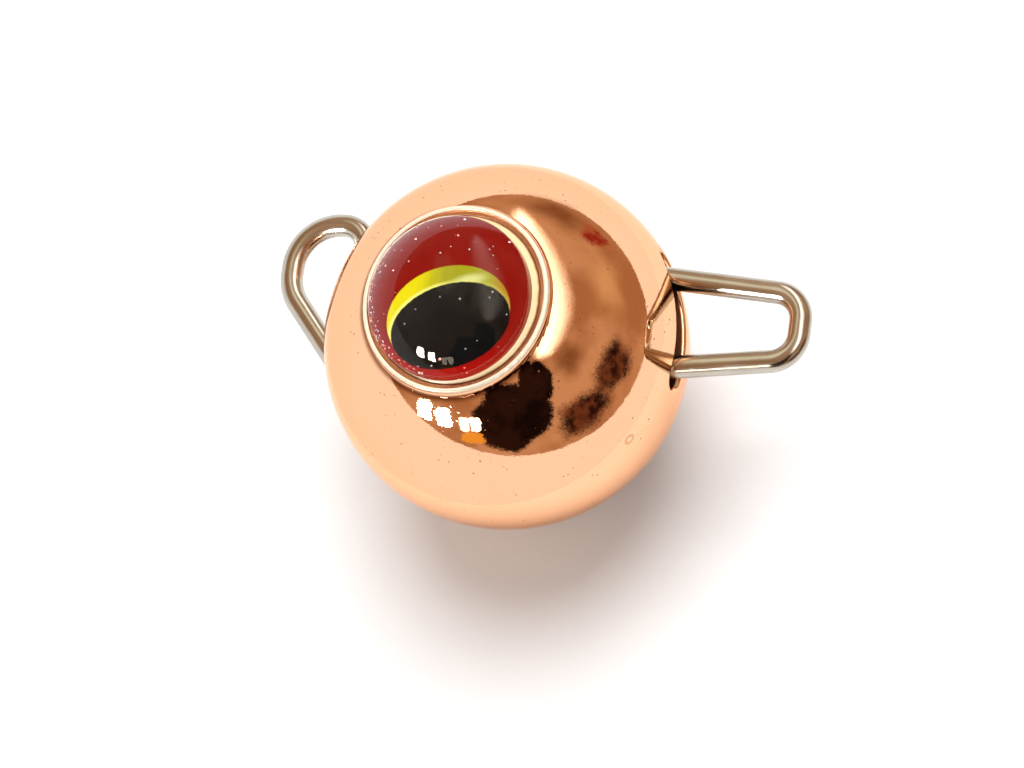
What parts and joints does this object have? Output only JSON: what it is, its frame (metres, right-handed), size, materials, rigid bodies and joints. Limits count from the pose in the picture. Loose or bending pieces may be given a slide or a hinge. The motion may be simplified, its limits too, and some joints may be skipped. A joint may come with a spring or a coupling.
{
  "type": "jig head",
  "caption": "Round clip-on jig head: a copper-plated ball weight with an eye in a raised ring on each side and a removable spring-wire clip through its slot, with a line loop and a hook loop.",
  "frame": {"origin": "centre of the ball", "axes": "+X along the slot towards the hook loop, +Y towards the side to which the slot is offset, +Z through the upper eye"},
  "size_m": [0.0171, 0.011, 0.0132],
  "materials": {
    "copper_plate": "bright copper plate, mirror-like with fine pits",
    "spring_wire": "polished stainless spring wire",
    "eye_glue": "clear pressure-sensitive glue",
    "eye_print": "printed glitter film",
    "eye_resin": "domed clear resin"
  },
  "bodies": {
    "ball": {"ball_body": "copper_plate", "eye_adhesive_upper": "eye_glue", "eye_film_upper": "eye_print", "eye_dome_upper": "eye_resin", "eye_adhesive_lower": "eye_glue", "eye_film_lower": "eye_print", "eye_dome_lower": "eye_resin"},
    "clip": {"wire_clip": "spring_wire"}
  },
  "joints": [
    {"name": "clip_slide", "type": "slide", "parent": "ball", "child": "clip", "axis": [-1, 0, 0], "range_m": [0, 0.016]}
  ]
}
